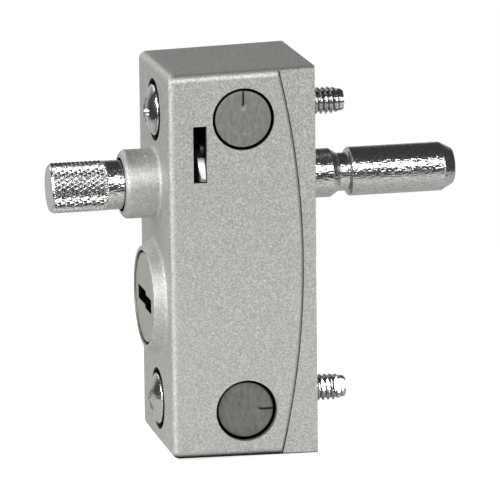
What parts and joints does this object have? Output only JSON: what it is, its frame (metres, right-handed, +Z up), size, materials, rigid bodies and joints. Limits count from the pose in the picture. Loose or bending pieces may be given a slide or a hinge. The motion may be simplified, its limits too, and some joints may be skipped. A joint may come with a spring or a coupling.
{
  "type": "patio door lock",
  "caption": "Surface-mounted sliding-door lock: drafted casing with a knurled pull bolt, key cylinder, latch window, fixing screws and round hole covers.",
  "frame": {"origin": "centre of the flat mounting face that lies against the sliding door", "axes": "+X along the bolt from the casing to its tip, +Z up, -Y the side with the two covers and the latch window"},
  "size_m": [0.0838, 0.03, 0.08],
  "materials": {
    "casing_paint": "silver sparkle paint",
    "plated_steel": "bright plated",
    "satin_nickel": "satin",
    "grey_plastic": "satin",
    "bare_steel": "rolled",
    "cast_zinc": "as cast",
    "cylinder_brass": "machined"
  },
  "bodies": {
    "casing": {"body_casting": "casing_paint", "bolt_guide_block": "cast_zinc", "back_plate": "bare_steel", "back_plate_screws": "plated_steel", "fixing_screw_upper": "plated_steel", "fixing_screw_lower": "plated_steel", "hole_plug_upper": "grey_plastic", "hole_plug_lower": "grey_plastic", "cylinder_housing": "cylinder_brass", "housing_locking_pin": "bare_steel", "latch_spring_front": "bare_steel", "latch_spring_rear": "bare_steel"},
    "bolt": {"plunger": "plated_steel"},
    "latch": {"latch_yoke": "plated_steel"},
    "core": {"cylinder_core": "satin_nickel", "drive_cam": "cast_zinc", "cam_screw": "plated_steel", "wafer_springs": "bare_steel"},
    "wafers": {"wafer_1": "cylinder_brass", "wafer_2": "cylinder_brass", "wafer_3": "cylinder_brass", "wafer_4": "cylinder_brass", "wafer_5": "cylinder_brass"}
  },
  "joints": [
    {"name": "bolt_slide", "type": "slide", "parent": "casing", "child": "bolt", "axis": [-1, 0, 0], "range_m": [0, 0.032]},
    {"name": "core_turn", "type": "hinge", "parent": "casing", "child": "core", "pos_m": [-0.03245, 0, -0.0087], "axis": [1, 0, 0], "range_deg": [0, 90]},
    {"name": "latch_lift", "type": "slide", "parent": "casing", "child": "latch", "axis": [0, 0, 1], "range_m": [0, 0.0011], "deforming": ["latch_spring_front", "latch_spring_rear"]},
    {"name": "wafer_slide", "type": "slide", "parent": "core", "child": "wafers", "axis": [0, 1, 0], "range_m": [0, 0.0009]}
  ],
  "couplings": [
    {"joint": "latch_lift", "follows": "core_turn", "m_per_rad": 0.0007}
  ]
}
